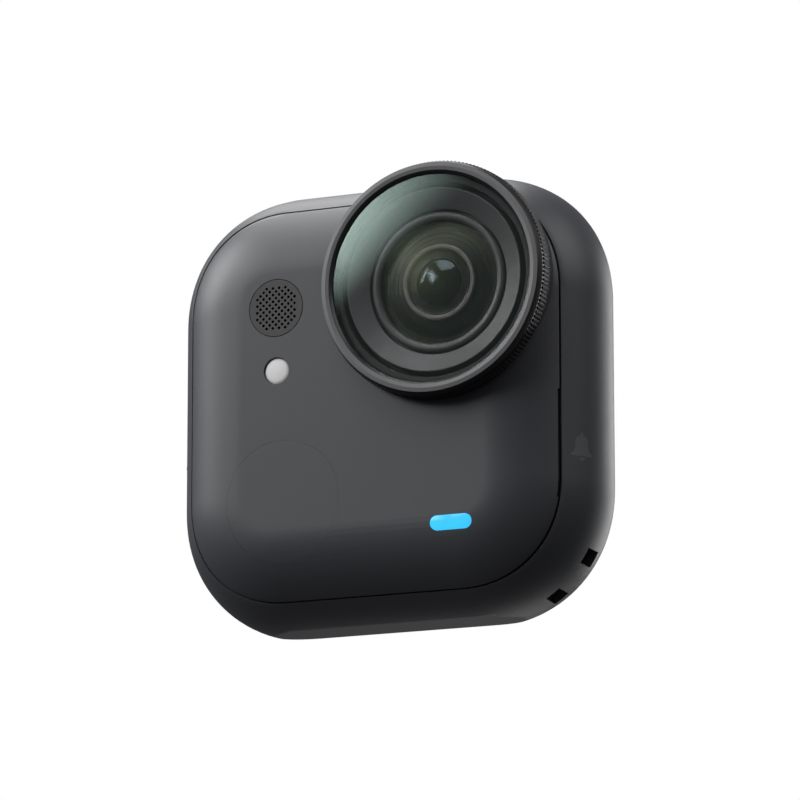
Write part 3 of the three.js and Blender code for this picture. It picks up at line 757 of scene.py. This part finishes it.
# %% Power button
power_depth = 1.8
power_tool = slab("power_tool", "z", power_middle, power_size, power_size[1] / 2,
                  (body_top - power_depth, body_top + 1), 16)
power_cap = break_edges(carve(solid_pillow("cap_power"), power_tool, operation="INTERSECT"), 0.1, 3)
settle(power_cap, "power_button", ["power_button"], shell_finish)

# %% Contact insert
insert = slab("insert_contacts", "y", contact_middle, contact_size, contact_size[1] / 2,
              (rear_y - insert_depth, rear_y - 0.1), 16)
break_edges(insert, 0.08)
well_radius, well_mouth = 0.74, 0.9
for i in range(pad_count):
    pad = middle(f"contact_pad_{i + 1}")
    carve(insert, turned(f"well_{i}", [(0, rear_y - 2), (well_radius, rear_y - 2), (well_radius, rear_y - 0.2),
                                       (well_mouth, rear_y + 0.1), (0, rear_y + 0.1)], pad, 32))
settle(insert, "camera_body", ["contact_insert"], black_finish)

# %% [markdown]
# ## Lens guard
# The guard is a turned ring that screws into the boss. Its front land is brushed, a dark chamfer leads out to
# a band of fine knurling for the fingers, and a slightly domed window lies in it. The whole profile is drawn as
# a run of points and spun round the lens axis.

# %% Finishes for the lens
def anodised(name, dark, light, roughness, metallic=0.6):
    """Fine turned metal: rings of slightly different shine round the lens axis."""
    rings_per_mm = 90.0  # in radians of the sine
    finish = Finish(name, Metallic=metallic)
    x, y, z = finish.axes()
    out = (x - lens.x) ** 2 + (z - lens.z) ** 2
    rings = finish.node("ShaderNodeMath", {"operation": "SINE"}, {0: (out ** 0.5) * rings_per_mm})
    fine = finish.noise(0.08, 3.0)
    return finish.give(
        Base_Color=finish.mix(fine * 0.6 + rings * 0.15 + 0.2, dark, light),
        Roughness=roughness + rings * 0.03 + fine * 0.05,
        Normal=finish.bump(rings * 0.5 + fine, 0.0015, 0.5))


def coated(name, tint, mirror, rough, glance=0.9):
    """Coated glass: mostly clear, with a tinted mirror that grows at a glancing angle."""
    finish = Finish(name, Metallic=1.0, Roughness=rough)
    cloud = finish.noise(3.0)
    finish.give(Base_Color=finish.mix(cloud, tint, [min(1, v * 1.15) for v in tint[:3]] + [1]))
    clear = finish.node("ShaderNodeBsdfTransparent", None, {"Color": (1, 1, 1, 1)})
    facing = finish.node("ShaderNodeLayerWeight", None, {"Blend": 0.5}, out="Facing")
    share = finish.node("ShaderNodeClamp", None, {0: facing ** 5 * glance + mirror + cloud * 0.01})
    finish.show(share, clear, finish.own("Principled BSDF"))
    return finish.material


print("glass and turned metal are ready")

# %% Finishes of the guard and the lens

guard_finish = anodised("guard_dark", grey(0.022), grey(0.034), 0.34)
land_finish = anodised("guard_land", grey(0.075, 0.06), grey(0.090, 0.06), 0.40, 0.1)
trim_finish = anodised("trim_grey", grey(0.058, 0.05), grey(0.070, 0.05), 0.45, 0.15)
knurl_finish = moulded("knurl_black", grey(0.005), grey(0.009), 0.7)
baffle_finish = anodised("baffle_grey", grey(0.36, -0.05), grey(0.42, -0.05), 0.55)
ring_finish = anodised("ring_grey", grey(0.048), grey(0.060), 0.40, 0.3)
barrel_finish = moulded("barrel_black", grey(0.004), grey(0.008), 0.45)
stop_finish = moulded("stop_grey", grey(0.14, 0.2), grey(0.18, 0.2), 0.4)
front_coat = coated("guard_coating", (0.62, 0.82, 0.74, 1), 0.055, rough=0.04)
element_coat = coated("element_coating", (0.48, 0.58, 0.34, 1), 0.010, rough=0.36)
inner_coat = coated("inner_coating", (0.55, 0.72, 0.74, 1), 0.012, glance=0.8, rough=0.12)
pupil_coat = coated("pupil_coating", (0.60, 0.76, 0.84, 1), 0.045, rough=0.12)

# %% Guard ring
guard_low, guard_high = reach("guard_ring")
guard_front, guard_rear = guard_low.y, guard_high.y
guard_radius = (guard_high.x - guard_low.x) / 2
guard_base = front_y - 0.14
land_outer, land_inner, pocket = 11.7, 10.92, 10.62
glass_low, glass_high = reach("guard_glass")
skirt_outer, skirt_inner = lens_bore - 0.08, 9.9
knurl_front = guard_front + 1.05
band_radius = guard_radius - 0.16  # the ring lies this far in under the knurled band

guard = turned("ring_guard", [
    (land_outer, guard_front + 0.06), (11.95, guard_front + 0.82), (band_radius, guard_front + 0.86),
    (band_radius, guard_base), (skirt_outer, guard_base), (skirt_outer, guard_rear),
    (skirt_inner, guard_rear), (skirt_inner, glass_high.y + 0.3), (pocket, glass_high.y + 0.3),
    (pocket, guard_front + 0.42), (land_inner, guard_front + 0.06)], steps=144, soften=0.03, soft_segments=2)
settle(guard, "lens_guard", ["guard_ring"], guard_finish, angle=25)

# %% The land, a brighter turned face let into the ring
land_from, land_to, land_base = land_inner - 0.01, land_outer - 0.02, guard_front + 0.09
land = turned("ring_land", [
    (land_from, guard_front + 0.05), (land_inner + 0.36, guard_front), (land_to, guard_front + 0.045),
    (land_to, land_base), (land_from, land_base)], steps=144)
settle(land, "lens_guard", [], land_finish, angle=12)

# %% Knurled band: one tooth drawn, then copied round the ring
teeth = 180
band = start("band_knurl", bpy.ops.mesh.primitive_cylinder_add, vertices=2 * teeth, radius=guard_radius - 0.02,
             depth=guard_base - knurl_front, location=(lens.x, (guard_base + knurl_front) / 2, lens.z),
             rotation=FACING["y"], end_fill_type="NOTHING")
step_angle = math.pi / teeth


def in_groove(v):
    turn = math.atan2(v.z - lens.z, v.x - lens.x) / step_angle
    return round(turn) % 2 == 1


edit(band, "VERT", in_groove)
groove_depth = 0.15
groove = (guard_radius - groove_depth) / guard_radius
bpy.ops.transform.resize(value=(groove, 1, groove), center_override=(lens.x, 0, lens.z))
leave()
apply(band, "SOLIDIFY", thickness=0.1, offset=-1.0)
settle(band, "lens_guard", [], knurl_finish, angle=20)

# %% [markdown]
# ## Window, rings and lens
# Behind the window lie a wide trim ring, the retainer ring and the lens itself: domed glass elements, a barrel
# with fine steps that catch stray light, a baffle ring and the stop. All of them are turned. A domed face is an
# arc of points that ends on the lens axis, and the coating's mirror grows towards the rim as on real glass.

# %% Window
def arc(rim, rim_y, middle_y, count=10):
    """Points of a spherical face, from its rim in to the axis."""
    sag = abs(middle_y - rim_y)
    sphere = (rim * rim + sag * sag) / (2 * sag)
    side = 1 if rim_y > middle_y else -1
    widest = math.asin(rim / sphere)
    return [(sphere * math.sin(widest * (1 - i / count)),
             middle_y + side * sphere * (1 - math.cos(widest * (1 - i / count)))) for i in range(count + 1)]


glass_radius = (glass_high.x - glass_low.x) / 2
window = turned("window_guard", [(0, glass_high.y), (glass_radius, glass_high.y)]
                + arc(glass_radius, guard_front + 0.5, guard_front + 0.2, 14))
settle(window, "lens_guard", ["guard_glass"], front_coat, angle=40)

# %% Trim and retainer rings
def lens_piece(name, node, profile, material, soften):
    piece = turned(name, profile, soften=soften, soft_segments=2)
    return settle(piece, "camera_body", [node], material)


trim_low, trim_high = reach("lens_trim_ring")
trim_radius = (trim_high.x - trim_low.x) / 2
lens_piece("ring_trim", "lens_trim_ring", [
    (7.42, front_y - 0.22), (7.5, front_y - 0.27), (trim_radius - 0.1, trim_low.y),
    (trim_radius, trim_low.y + 0.06), (trim_radius, trim_high.y), (8.4, trim_high.y), (8.4, front_y + 0.3),
    (7.42, front_y + 0.3)], trim_finish, 0.02)
retainer_low, retainer_high = reach("lens_retainer_ring")
lens_piece("ring_retainer", "lens_retainer_ring", [
    (6.3, retainer_low.y + 0.30), (6.42, retainer_low.y + 0.12), (6.62, retainer_low.y + 0.02),
    (6.85, retainer_low.y), (7.05, retainer_low.y + 0.06), (7.2, retainer_low.y + 0.25),
    (7.2, retainer_high.y), (6.3, retainer_high.y)], ring_finish, 0.03)

# %% Glass elements
def element(name, node, rim_bevel, coat, count=12, dome=0.5):
    """A lens element: a domed front, a ground edge and a flat back, from its node's box."""
    low, high = reach(node)
    radius = (high.x - low.x) / 2
    rim_y = min(high.y - 0.15, low.y + (high.y - low.y) * dome)
    profile = [(0, high.y), (radius - rim_bevel, high.y), (radius, high.y - rim_bevel)]
    piece = turned(name, profile + arc(radius, rim_y, low.y, count))
    return settle(piece, "camera_body", [node], coat, angle=35)


front_low, front_high = reach("front_element")
dome_radius = (front_high.x - front_low.x) / 2
dome_base = front_high.y - 0.05
outside = arc(dome_radius, front_y, front_low.y, 14)[::-1]
hollow = arc(dome_radius - 0.55, front_y + 0.35, front_y - 0.6, 10)
dome_glass = turned("glass_dome", outside + [(dome_radius, dome_base), (dome_radius - 0.5, dome_base)] + hollow)
settle(dome_glass, "camera_body", ["front_element"], element_coat, angle=35)
element("glass_second", "second_element", 0.1, pupil_coat, dome=0.8)
element("glass_third", "third_element", 0.1, inner_coat)

# %% Barrel, rings and stop
nose_bore, bay_radius = 3.4, 4.4
barrel_low, barrel_high = reach("lens_barrel")
barrel_radius = (barrel_high.x - barrel_low.x) / 2
barrel_seat = dome_radius + 0.1
lens_piece("barrel_lens", "lens_barrel", [
    (nose_bore, front_y + 0.45), (nose_bore + 0.55, front_y + 0.45), (4.6, front_y + 0.52),
    (4.62, front_y + 0.47), (5.1, front_y + 0.54), (5.12, front_y + 0.5), (dome_radius - 0.45, front_y + 0.62),
    (barrel_seat, front_y + 0.62), (barrel_seat, barrel_low.y), (barrel_radius, barrel_low.y),
    (barrel_radius, front_y + 3.1), (6.9, front_y + 3.1), (6.9, barrel_high.y),
    (bay_radius - 0.2, barrel_high.y), (bay_radius - 0.2, front_y + 5.4), (bay_radius, front_y + 5.4),
    (bay_radius, front_y + 1.1), (nose_bore, front_y + 1.1)], barrel_finish, 0)
lens_piece("ring_baffle", "baffle_ring", [
    (nose_bore - 0.04, front_y + 0.1), (nose_bore + 0.06, front_y - 0.04), (nose_bore + 0.42, front_y - 0.05),
    (nose_bore + 0.5, front_y + 0.03), (nose_bore + 0.5, front_y + 0.39), (nose_bore - 0.04, front_y + 0.39)],
    baffle_finish, 0.02)
spacer_low, spacer_high = reach("element_spacer")
lens_piece("ring_spacer", "element_spacer", [
    (2.36, spacer_low.y + 0.1), (2.44, spacer_low.y + 0.02), (2.6, spacer_low.y + 0.06),
    (3.2, spacer_low.y + 0.1), (3.32, spacer_low.y + 0.02), (3.32, spacer_high.y), (2.36, spacer_high.y)],
    barrel_finish, 0.01)
stop_low, stop_high = reach("aperture_stop")
lens_piece("stop_aperture", "aperture_stop", [
    (0.8, stop_low.y + 0.1), (0.9, stop_low.y + 0.03), (1.25, stop_low.y + 0.03), (1.3, stop_low.y),
    (1.75, stop_low.y), (1.8, stop_low.y + 0.03), (2.3, stop_low.y + 0.03), (2.3, stop_high.y),
    (0.8, stop_high.y)],
    stop_finish, 0)
element("glass_rear", "rear_element", 0.1, inner_coat)
element("glass_filter", "ir_filter", 0.02, inner_coat, 3)

# %% Rubber seals
for name, node, body, width, soften in (("seal_gasket", "guard_gasket", "lens_guard", 0.6, 0.04),
                                        ("seal_thread", "guard_seal", "guard_thread_seal", 0.4, 0.12)):
    low, high = reach(node)
    outer = (high.x - low.x) / 2
    inner = outer - width
    ring = turned(name, [(inner, low.y), (outer, low.y), (outer, high.y), (inner, high.y)], soften=soften)
    settle(ring, body, [node], rubber_finish)

# %% [markdown]
# ## Grille and lamps
# The grille is a small disc with rows of fine holes; every second row is shifted by half a step. One hole is
# drawn, copied to each place inside the field, joined, and cut in one go. The round lamp is turned and lies a
# little below the face. The status lamp is cut from the front skin, so it lies flush with it.

# %% Microphone grille
pitch, hole_radius, field = 0.69, 0.15, 2.35
grille = turned("grille_mic", [(0, front_y), (mic_radius - 0.03, front_y), (mic_radius, front_y + 0.03),
                               (mic_radius, front_y + 0.8), (0, front_y + 0.8)], mic)
pattern = bar("hole", mic, hole_radius, (front_y - 0.5, front_y + 1.2), 14)
holes = []
for column in range(-6, 7):
    for step in range(-4, 5):
        across, up = column * pitch / 2, (step + (0 if column % 2 else 0.5)) * pitch
        if math.hypot(across, up) > field:
            continue
        hole = double(pattern, "hole_copy")
        edit(hole)
        bpy.ops.transform.translate(value=(across, 0, up))
        leave()
        holes.append(hole)
bpy.data.objects.remove(pattern)
print("grille holes", len(holes))
carve(grille, join(*holes))
settle(grille, "camera_body", ["mic_grille"], grille_finish, angle=40)

# %% Round lamp and status lamp
flange = light_radius + 0.6
lamp = turned("lamp_round", [(0, front_y + 0.10), (light_radius - 0.3, front_y + 0.11),
                             (light_radius - 0.1, front_y + 0.15), (light_radius, front_y + 0.22),
                             (light_radius, front_y + 1.2), (flange, front_y + 1.3), (flange, front_y + 1.8),
                             (0, front_y + 1.8)], light, 64)
settle(lamp, "camera_body", ["light_window"], lamp_finish, angle=40)
status_tool = slab("status_tool", "y", status, status_size, status_size[1] / 2,
                   (front_y - 1, front_y + 1.9), 16)
status_lamp = carve(solid_front("lamp_status"), status_tool, operation="INTERSECT")
break_edges(status_lamp, 0.05)
settle(status_lamp, "camera_body", ["status_light_pipe"], status_finish, angle=40)

# %% [markdown]
# ## The pieces inside
# Boards, battery, screws and magnets keep their meshes from the solid model. Each gets a finish by the slot
# that the model names for it, so nothing inside is left plain when the door is open or the guard is off.

# %% Finish for every inner node
steel_finish = anodised("bright_steel", grey(0.40, 0.02), grey(0.50, 0.02), 0.28, 1.0)
gold_finish = anodised("gold_plate", (0.62, 0.38, 0.10, 1), (0.72, 0.46, 0.14, 1), 0.22, 1.0)
inner_finishes = {
    "shell": shell_finish, "black_plastic": black_finish, "rubber": rubber_finish, "steel": steel_finish,
    "contact_gold": gold_finish, "lamp_white": lamp_finish, "lamp_blue": status_finish,
    "guard_metal": guard_finish, "trim_metal": trim_finish, "glass": inner_coat,
    "board": moulded("solder_mask", (0.006, 0.04, 0.018, 1), (0.012, 0.07, 0.03, 1), 0.4, grain=0.5),
    "chip": moulded("chip_resin", grey(0.005), grey(0.012), 0.5),
    "foil": moulded("dull_foil", grey(0.16), grey(0.24), 0.4, grain=0.9, depth=0.01, Metallic=0.6),
    "mesh": moulded("woven_mesh", grey(0.006), grey(0.012), 0.8, grain=0.2),
}
for name, node in frame["nodes"].items():
    for place in node.material_slots:
        kind = place.material.name.split(".")[0] if place.material else "shell"
        place.material = inner_finishes.get(kind, shell_finish)
print("inner nodes", sum(not node.hide_render for node in frame["nodes"].values()))

# %% [markdown]
# ## Light, camera and floor
# The camera looks up at the object from below and from its right. A soft key on the left lights the front
# without a reflection of its own. Two wide boxes above and on the left draw the soft bright bands on those
# edges, one behind on the right draws the thin bright line there, and two weak ones fill the right side and
# the underside. A card high on the left is seen only as the crescent in the guard's window, so it fades to its
# sides. The floor is pale and can't be seen from below.

# %% Camera
azimuth, elevation, distance = math.radians(24.10), math.radians(12.41), 0.5223
aim = Vector((0, -0.00676, 0.02255))
look = Vector((-math.sin(azimuth) * math.cos(elevation), math.cos(azimuth) * math.cos(elevation),
               math.sin(elevation)))
bpy.ops.object.camera_add(location=aim - look * distance, rotation=look.to_track_quat("-Z", "Y").to_euler())
camera = bpy.context.object
camera.data.lens, camera.data.sensor_width = 234.2, 36
camera.data.shift_x, camera.data.shift_y = 0.0332, -0.0038
camera.data.clip_start, camera.data.clip_end = 0.01, 50
bpy.context.scene.camera = camera
print("camera", [round(v, 4) for v in camera.location])

# %% Lights
body_centre = (0, 0, 0.0225)


def softbox(name, place, width, height, power, at=body_centre, tilt=0.0):
    bpy.ops.object.light_add(type="AREA", location=place)
    lamp = bpy.context.object
    lamp.name = name
    lamp.rotation_euler = (Vector(at) - Vector(place)).to_track_quat("-Z", "Y").to_euler()
    if tilt:
        lamp.rotation_euler.rotate_axis("Z", math.radians(tilt))
    lamp.data.shape, lamp.data.size, lamp.data.size_y = "RECTANGLE", width, height
    lamp.data.energy = power
    lamp.visible_camera = False
    return lamp


def fade_lens_card(lamp):
    """The card is dark at one end and bright at the other, and dark along its long sides."""
    dark_from, lit_from = 0.92, 0.76
    narrowing, widest = -0.45, 0.50  # of the dark margin, along the card
    growth, start_level = -0.62, 0.87  # of the brightness, along the card
    lamp.data.use_nodes = True
    glow = Recipe(lamp.data.node_tree)
    along, across = glow.apart(glow.node("ShaderNodeNewGeometry", out="Parametric"))[:2]
    lit = glow.node("ShaderNodeMapRange", {"interpolation_type": "SMOOTHSTEP"},
                    {0: along, "From Min": dark_from, "From Max": lit_from})
    middle_share = glow.node("ShaderNodeMath", {"operation": "PINGPONG"}, {0: across, 1: 0.5}) * 2.0
    inside = glow.node("ShaderNodeClamp", None, {0: middle_share - (along * narrowing + widest)})
    glow.feed(glow.tree.nodes["Emission"], "Strength", (along * growth + start_level) * (lit * inside))


key = softbox("key_left", (-0.30, -0.60, 0.40), 0.35, 0.35, 1.3)
key.visible_glossy = False
softbox("edge_top", (-0.14, -0.04, 0.55), 1.10, 0.35, 5.2)
softbox("edge_left", (-0.56, -0.12, 0.36), 0.30, 0.35, 3.4)
softbox("edge_right", (0.25, 0.60, 0.05), 0.20, 0.50, 2.2)
softbox("fill_right", (0.45, -0.02, 0.42), 0.40, 0.40, 1.4)
softbox("fill_below", (0.00, 0.45, -0.40), 0.40, 0.30, 0.55)
lens_spot = Vector((0.00843, -0.0118, 0.0329))
card_way = Vector((-0.61, -0.745, 0.427)).normalized()
card_distance = 0.6
card = softbox("lens_card", lens_spot + card_way * card_distance, 0.37, 0.32, 11.0, at=lens_spot, tilt=-45)
fade_lens_card(card)

# %% Pale surroundings
world = bpy.data.worlds.new("pale_room")
bpy.context.scene.world = world
world.use_nodes = True
room = Recipe(world.node_tree)
room.feed(world.node_tree.nodes["Background"], "Color", (0.10, 0.10, 0.105, 1))
paper = room.node("ShaderNodeBackground", None, {"Color": (1, 1, 1, 1)})
seen = room.node("ShaderNodeLightPath", out="Is Camera Ray")
room.show(seen, room.own("Background"), paper, "World Output")
bpy.context.scene.view_settings.view_transform = "Standard"
print("surroundings", world.name)

# %% Floor, seen from above only
bpy.ops.object.select_all(action="DESELECT")
bpy.ops.mesh.primitive_plane_add(size=6, location=(0, 0, -0.0004))
floor = bpy.context.object
floor.name = "floor"
pale = Finish("pale_floor")
pale.give(Base_Color=pale.mix(pale.noise(900.0), grey(0.80), grey(0.84)), Roughness=0.9)
from_below = pale.node("ShaderNodeNewGeometry", out="Backfacing")
pale.show(from_below, pale.own("Principled BSDF"), pale.node("ShaderNodeBsdfTransparent"))
floor.data.materials.append(pale.material)
floor.visible_diffuse = floor.visible_glossy = floor.visible_shadow = floor.visible_transmission = False
print("floor", floor.dimensions.x, "m wide")
